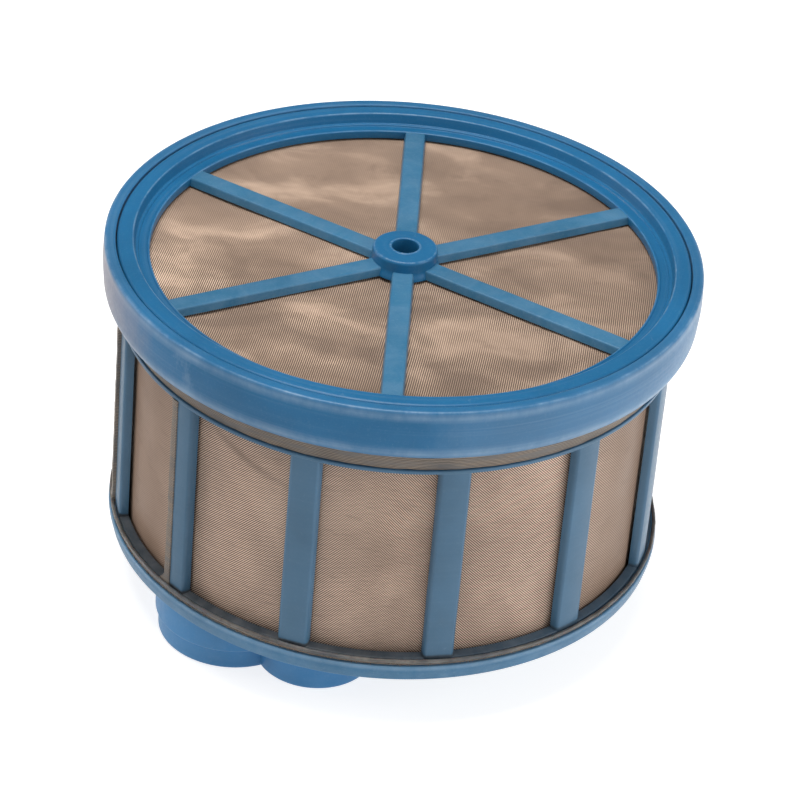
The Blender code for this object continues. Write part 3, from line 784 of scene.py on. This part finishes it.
def build_fringe():
    """Band of soaked cloth with short cut wires standing out of its lower edge."""
    random.seed(7)
    low, high = FRINGE_LOW.z, FRINGE_HIGH.z
    shape = bmesh.new()
    inner = 46.95 * MM
    add_turned(shape, [(inner, low + 0.05 * MM), (47.1 * MM, low), (47.12 * MM, high), (inner, high)])
    for index in range(FRINGE_WIRES):
        angle = 2.0 * math.pi * (index + random.uniform(-0.3, 0.3)) / FRINGE_WIRES
        outward = Vector((math.cos(angle), math.sin(angle), 0.0))
        sideways = Vector((-outward.y, outward.x, random.uniform(-0.3, 0.3)))
        height = random.uniform(low + 0.1 * MM, high - 0.08 * MM)
        reach = random.uniform(0.06, 0.24) * MM
        drop = Vector((0.0, 0.0, -random.uniform(0.0, 0.22) * MM))
        root = outward * 47.08 * MM + Vector((0.0, 0.0, height))
        half = 0.06 * MM
        ends = []
        for centre in (root - outward * 0.1 * MM, root + outward * reach + drop):
            ends.append([shape.verts.new(centre + sideways * a * half + Vector((0.0, 0.0, b * half)))
                         for a, b in ((-1, -1), (1, -1), (1, 1), (-1, 1))])
        add_skin(shape, ends)
    add_object("fringe", mesh_from(shape, "fringe"), BODY, HEM_CLOTH, ["lower_mesh_fringe"])


def carved(mesh, cutters, joined=()):
    """The mesh with each cutter taken away and each joined mesh added, as one solid."""
    base = bpy.data.objects.new("carving", mesh)
    bpy.context.scene.collection.objects.link(base)
    helpers = []
    steps = [(item, "UNION") for item in joined] + [(item, "DIFFERENCE") for item in cutters]
    for other, operation in steps:
        helper = bpy.data.objects.new("helper", other)
        bpy.context.scene.collection.objects.link(helper)
        step = base.modifiers.new(operation, "BOOLEAN")
        step.operation, step.solver, step.object = operation, "EXACT", helper
        helpers.append(helper)
    bpy.context.view_layer.update()
    result = bpy.data.meshes.new_from_object(base.evaluated_get(bpy.context.evaluated_depsgraph_get()))
    for helper in helpers + [base]:
        bpy.data.objects.remove(helper)
    return result


def plug(radius, low, high, centre):
    shape = bmesh.new()
    bmesh.ops.create_cone(shape, cap_ends=True, segments=SMALL_STEPS, radius1=radius, radius2=radius,
                          depth=high - low)
    bmesh.ops.translate(shape, verts=shape.verts, vec=(centre[0], centre[1], 0.5 * (low + high)))
    return mesh_from(shape, "plug")


def build_pan():
    base, rim, floor = PAN_LOW.z, PAN_HIGH.z, PAN_LOW.z + 0.9 * MM
    profile = [(HUB_BORE_R, base), (46.98 * MM, base), (PAN_R, rim - 0.9 * MM), (PAN_R, rim),
               (PAN_WALL_R, rim), (PAN_WALL_R, floor), (HUB_BORE_R, floor)]
    outline = rounded(profile, [0.2 * MM, 0.3 * MM, 1.2 * MM, 0.55 * MM, 0.1 * MM, 0.0, 0.1 * MM], steps=6)
    mesh = carved(turned("pan", outline), [plug(6.9 * MM, base - MM, floor + MM, LARGE_AT),
                                           plug(4.5 * MM, base - MM, floor + MM, SMALL_AT)])
    add_object("pan", mesh, BODY, PAN_PLASTIC, ["base_pan"], sharp=35.0)


def build_stub():
    top, neck = PAN_LOW.z - 0.3 * MM, STUB_HIGH.z
    large = rounded([(LARGE_SOCKET_R, 0.0), (12.5 * MM, 0.0), (12.5 * MM, 3.7 * MM), (13.1 * MM, 4.2 * MM),
                     (13.1 * MM, top), (6.6 * MM, top), (6.6 * MM, neck), (LARGE_BORE_R, neck),
                     (LARGE_BORE_R, SOCKET_DEPTH), (LARGE_SOCKET_R, SOCKET_DEPTH)],
                    [value * MM for value in (0.5, 0.8, 0.25, 0.3, 0.0, 0.0, 0.3, 0.2, 0.3, 0.0)], steps=5)
    small = rounded([(3.2 * MM, 0.0), (10.0 * MM, 0.0), (10.0 * MM, top), (4.2 * MM, top), (4.2 * MM, neck),
                     (3.2 * MM, neck)], [value * MM for value in (0.0, 0.8, 0.0, 0.0, 0.3, 0.2)], steps=5)
    mesh = carved(turned("stub", large, steps=144, centre=LARGE_AT),
                  [plug(LARGE_SOCKET_R, -MM, SOCKET_DEPTH, LARGE_AT),
                   plug(LARGE_BORE_R, 4.0 * MM, neck + MM, LARGE_AT),
                   plug(SMALL_SOCKET_R, -MM, SOCKET_DEPTH, SMALL_AT)],
                  [turned("small", small, steps=144, centre=SMALL_AT)])
    add_object("stub", mesh, BODY, STUB_PLASTIC, ["twin_stub"], sharp=35.0)


def build_inner_rings():
    """Seals, clamp ring and lock rings: turned to the space that the frame gives, with rounded edges."""
    # node, body, slot, material, width and corner radius in millimetres
    rings = (("mesh_clamp_ring", LID, "blue_plastic", PLASTIC, 5.1, 0.3),
             ("end_gasket", BODY, "seal_rubber", RUBBER, 2.35, 0.3),
             ("base_gasket", BODY, "seal_rubber", RUBBER, 1.6, 0.15),
             ("large_neck_seal", BODY, "seal_rubber", RUBBER, 1.2, 0.4),
             ("small_neck_seal", BODY, "seal_rubber", RUBBER, 1.2, 0.4),
             ("large_lock_ring", BODY, "blue_plastic", PLASTIC, 1.9, 0.4),
             ("small_lock_ring", BODY, "blue_plastic", PLASTIC, 1.7, 0.4))
    for node, body, slot, material, width, corner in rings:
        low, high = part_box(node)
        centre = (0.5 * (low.x + high.x), 0.5 * (low.y + high.y))
        outer = 0.5 * (high.x - low.x)
        inner = outer - width * MM
        outline = rounded([(inner, low.z), (outer, low.z), (outer, high.z), (inner, high.z)],
                          [corner * MM] * 4)
        steps = RING_STEPS if outer > 0.02 else SMALL_STEPS
        mesh = turned(node, outline, steps=steps, centre=centre)
        add_object(node + "_turned", mesh, body, material, [node])
    low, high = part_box("centre_post")
    outline = rounded([(HUB_BORE_R, low.z), (8.0 * MM, low.z), (8.0 * MM, low.z + 2.0 * MM),
                       (4.0 * MM, low.z + 3.5 * MM), (4.0 * MM, high.z), (HUB_BORE_R, high.z)],
                      [value * MM for value in (0.2, 0.3, 0.5, 1.5, 0.4, 0.2)])
    add_object("post", turned("post", outline, steps=SMALL_STEPS), BODY, PLASTIC,
               ["centre_post"])


# ---------------------------------------------------------------- camera, light and floor

def build_camera():
    """Long lens, 31 degrees above the object, rolled 5 degrees, aimed below the collar's top."""
    target = Vector((0.0, 0.0, TOP))
    elevation, roll = math.radians(30.92), math.radians(-5.06)
    aim_side, aim_down = math.radians(0.13), math.radians(2.453)
    distance = 11.949 * COLLAR_R
    back = Vector((0.0, -math.cos(elevation), math.sin(elevation)))
    right = Vector((1.0, 0.0, 0.0))
    up = right.cross(-back)
    to_camera = Matrix((right, up, back))
    turn = (Matrix.Rotation(roll, 3, "Z") @ Matrix.Rotation(aim_down, 3, "X")
            @ Matrix.Rotation(aim_side, 3, "Y") @ to_camera)
    data = bpy.data.cameras.new("camera")
    data.sensor_width = 36.0
    data.lens = 162.0
    data.clip_start, data.clip_end = 0.01, 20.0
    camera = bpy.data.objects.new("camera", data)
    bpy.context.scene.collection.objects.link(camera)
    camera.matrix_world = Matrix.Translation(target + back * distance) @ turn.transposed().to_4x4()
    bpy.context.scene.camera = camera


def build_floor():
    """Pale floor that also gives off light, more at the right. The camera sees it evenly bright."""
    shape = bmesh.new()
    bmesh.ops.create_grid(shape, x_segments=1, y_segments=1, size=4.0)
    mesh = mesh_from(shape, "floor")
    floor = bpy.data.objects.new("floor", mesh)
    bpy.context.scene.collection.objects.link(floor)
    floor.location.z = -0.2 * MM
    n = Nodes("floor_paint")
    bright = n.math("ADD", n.math("MULTIPLY", n.x, 3.2), n.math("MULTIPLY", n.y, 1.2))
    glow = n.span(bright, -0.25, 0.30, FLOOR_GLOW[0], FLOOR_GLOW[1])
    seen = n.new("ShaderNodeLightPath").outputs["Is Camera Ray"]
    n.feed(n.shader.inputs["Emission Color"], rgb(1.0, 0.99, 0.98))
    lighting = n.math("MULTIPLY", n.math("SUBTRACT", 1.0, seen), glow)
    shown = n.math("MULTIPLY", seen, FLOOR_SEEN)
    n.feed(n.shader.inputs["Emission Strength"], n.math("ADD", shown, lighting))
    n.finish(rgb(0.50, 0.50, 0.50), 0.9, Specular_IOR_Level=0.1)
    mesh.materials.append(n.material)


def area_light(name, place, size, power, aim=(0.0, 0.0, 0.03), colour=(1.0, 1.0, 1.0)):
    data = bpy.data.lights.new(name, "AREA")
    data.shape = "RECTANGLE"
    data.size, data.size_y = size
    data.energy = power
    data.color = colour
    lamp = bpy.data.objects.new(name, data)
    bpy.context.scene.collection.objects.link(lamp)
    lamp.location = place
    lamp.rotation_euler = (Vector(aim) - Vector(place)).to_track_quat("-Z", "Y").to_euler()


def build_light():
    """Room light, brighter in front than behind but even to the camera, with three soft panels."""
    world = bpy.data.worlds.new("studio")
    bpy.context.scene.world = world
    world.use_nodes = True
    tree = world.node_tree
    tree.nodes["Background"].inputs[0].default_value = (0.97, 0.98, 1.0, 1.0)
    seen = tree.nodes.new("ShaderNodeLightPath").outputs["Is Camera Ray"]
    places = tree.nodes.new("ShaderNodeSeparateXYZ")
    tree.links.new(tree.nodes.new("ShaderNodeTexCoord").outputs["Generated"], places.inputs[0])
    dim = tree.nodes.new("ShaderNodeMapRange")
    tree.links.new(places.outputs["Y"], dim.inputs[0])
    dim.inputs[1].default_value = -0.6
    dim.inputs[2].default_value = 0.6
    dim.inputs[3].default_value = WORLD_GLOW[0]
    dim.inputs[4].default_value = WORLD_GLOW[1]
    strength = tree.nodes.new("ShaderNodeMapRange")
    tree.links.new(seen, strength.inputs[0])
    tree.links.new(dim.outputs[0], strength.inputs[3])
    strength.inputs[4].default_value = WORLD_SEEN
    tree.links.new(strength.outputs[0], tree.nodes["Background"].inputs[1])
    area_light("key", (-0.10, -0.05, 0.85), (0.45, 0.45), 6.3, colour=(1.0, 0.98, 0.95))
    area_light("right_panel", (0.75, -0.25, 0.28), (0.4, 0.6), 2.7)
    area_light("left_panel", (-0.80, 0.15, 0.12), (0.3, 0.5), 3.0, colour=(1.0, 0.92, 0.88))
    bpy.context.scene.view_settings.view_transform = "Standard"


build_collar()
build_end_frame()
build_end_cloth()
build_side_cloth()
build_cage()
build_hem()
build_laps()
build_bead()
build_fringe()
build_pan()
build_stub()
build_inner_rings()
build_floor()
build_light()
build_camera()
